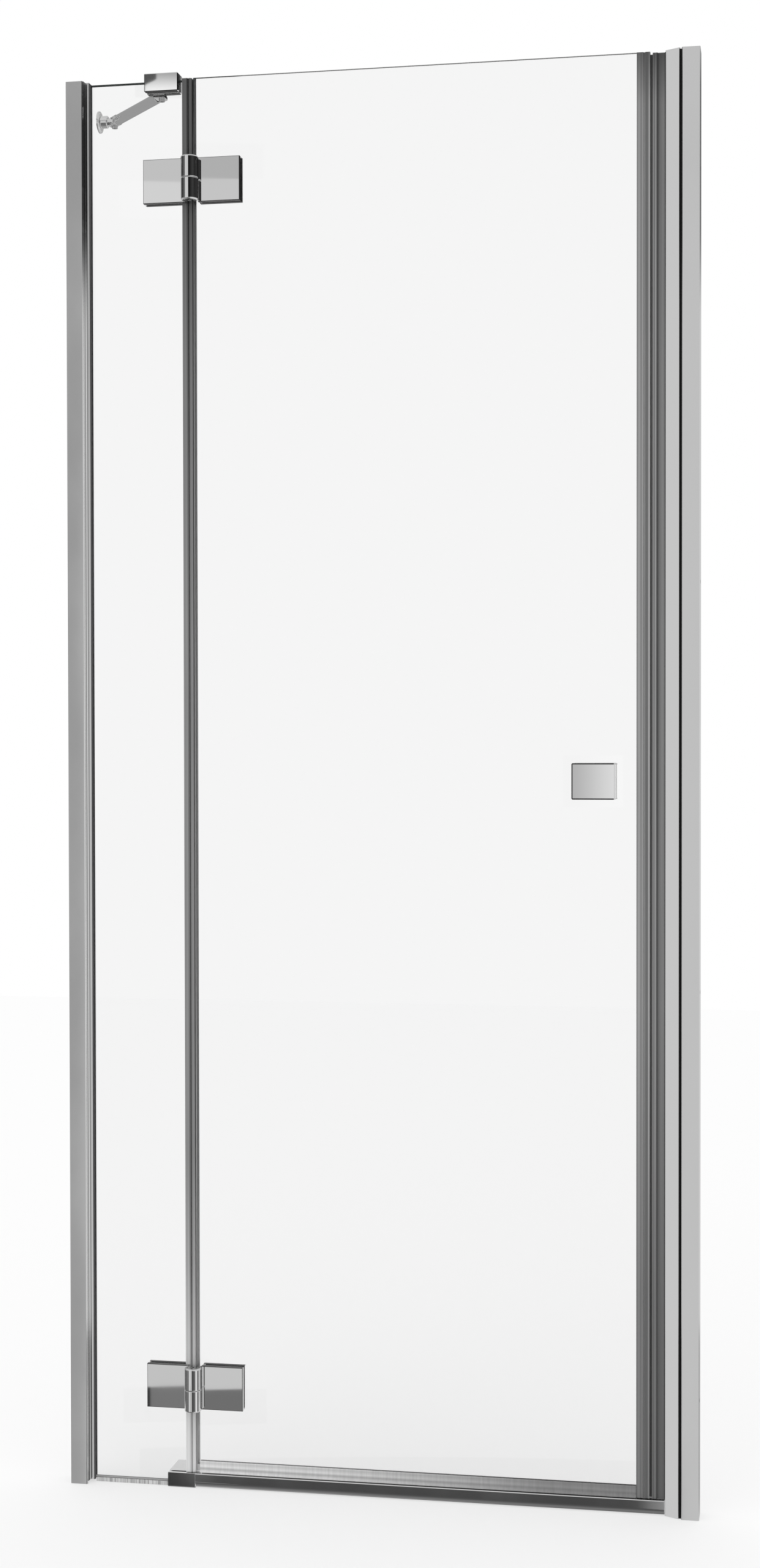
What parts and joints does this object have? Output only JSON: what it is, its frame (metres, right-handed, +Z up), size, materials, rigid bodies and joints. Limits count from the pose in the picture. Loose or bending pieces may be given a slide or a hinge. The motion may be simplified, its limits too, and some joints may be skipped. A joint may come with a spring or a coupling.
{
  "type": "shower door",
  "caption": "Framed niche shower door: narrow fixed glass pane with wall brace, wide outward-opening pane on rising pivot hinges, magnetic strike, square knobs and low threshold rail.",
  "frame": {"origin": "on the tray, half way between the walls, in the middle of the glass", "axes": "+X along the opening from the hinge side to the strike, -Y to the outside, +Z up"},
  "size_m": [0.893, 0.1895, 2.007],
  "materials": {
    "chrome_profile": "polished, bright chrome look",
    "chrome_fitting": "polished chrome",
    "glass": "clear toughened safety glass",
    "clear_seal": "clear flexible extrusion",
    "rubber": "soft grey rubber",
    "steel": "stainless steel",
    "nylon": "natural nylon",
    "magnet_strip": "flexible magnet strip"
  },
  "bodies": {
    "wall_frame": {"wall_profile_left": "chrome_profile", "wall_profile_right": "chrome_profile", "lock_screws": "steel", "threshold_rail": "chrome_profile", "threshold_end_left": "chrome_profile", "threshold_end_right": "chrome_profile", "setting_block": "rubber"},
    "fixed_panel": {"glazing_profile": "chrome_profile", "glazing_cap": "chrome_profile", "glazing_gasket_outer": "rubber", "glazing_gasket_inner": "rubber", "fixed_glass": "glass", "sill_strip": "clear_seal", "post_seal": "clear_seal", "fixed_leaf_top": "chrome_fitting", "fixed_leaf_bottom": "chrome_fitting", "fixed_back_plate_top": "chrome_fitting", "fixed_back_plate_bottom": "chrome_fitting", "fixed_pads": "rubber", "fixed_leaf_screws": "steel", "fixed_cam_top": "nylon", "fixed_cam_bottom": "nylon", "fixed_barrel_caps": "chrome_fitting", "brace_clamp": "chrome_fitting", "clamp_pressure_plate": "steel", "clamp_pads": "rubber", "clamp_grub_screws": "steel", "brace_pivot_screw": "steel"},
    "hinge_pins": {"hinge_pin_top": "steel", "hinge_pin_bottom": "steel"},
    "door": {"door_glass": "glass", "door_leaf_top": "chrome_fitting", "door_leaf_bottom": "chrome_fitting", "door_back_plate_top": "chrome_fitting", "door_back_plate_bottom": "chrome_fitting", "door_pads": "rubber", "door_leaf_screws": "steel", "door_cam_top": "nylon", "door_cam_bottom": "nylon", "door_barrel_caps": "chrome_fitting", "door_bottom_seal": "clear_seal", "door_magnet_seal": "clear_seal", "door_magnet": "magnet_strip", "knob_outer": "chrome_fitting", "knob_inner": "chrome_fitting", "knob_stud": "steel", "knob_pads": "rubber"},
    "strike": {"strike_profile": "chrome_profile", "strike_cap": "chrome_profile", "strike_seal": "clear_seal", "strike_magnet": "magnet_strip"},
    "brace": {"brace_bar": "chrome_fitting", "brace_eye_end": "chrome_fitting", "brace_fork_end": "chrome_fitting", "flange_pivot_screw": "steel"},
    "wall_flange": {"flange_neck": "chrome_fitting", "flange_rosette": "chrome_fitting", "flange_base": "steel"}
  },
  "joints": [
    {"name": "panel_adjust", "type": "slide", "parent": "wall_frame", "child": "fixed_panel", "axis": [1, 0, 0], "range_m": [-0.008, 0]},
    {"name": "door_lift", "type": "slide", "parent": "fixed_panel", "child": "hinge_pins", "axis": [0, 0, 1], "range_m": [0, 0.006]},
    {"name": "door_swing", "type": "hinge", "parent": "hinge_pins", "child": "door", "pos_m": [-0.265, -0.02, 1], "axis": [0, 0, -1], "range_deg": [0, 100]},
    {"name": "strike_adjust", "type": "slide", "parent": "wall_frame", "child": "strike", "axis": [1, 0, 0], "range_m": [0, 0.008]},
    {"name": "brace_swing", "type": "hinge", "parent": "fixed_panel", "child": "brace", "pos_m": [-0.3165, 0.024, 1.9845], "axis": [0, 0, -1], "range_deg": [0, 40]},
    {"name": "flange_swivel", "type": "hinge", "parent": "brace", "child": "wall_flange", "pos_m": [-0.4225, 0.1415, 1.9845], "axis": [0, 0, 1], "range_deg": [-45, 40]}
  ],
  "couplings": [
    {"joint": "door_lift", "follows": "door_swing", "m_per_rad": 0.0034377}
  ]
}
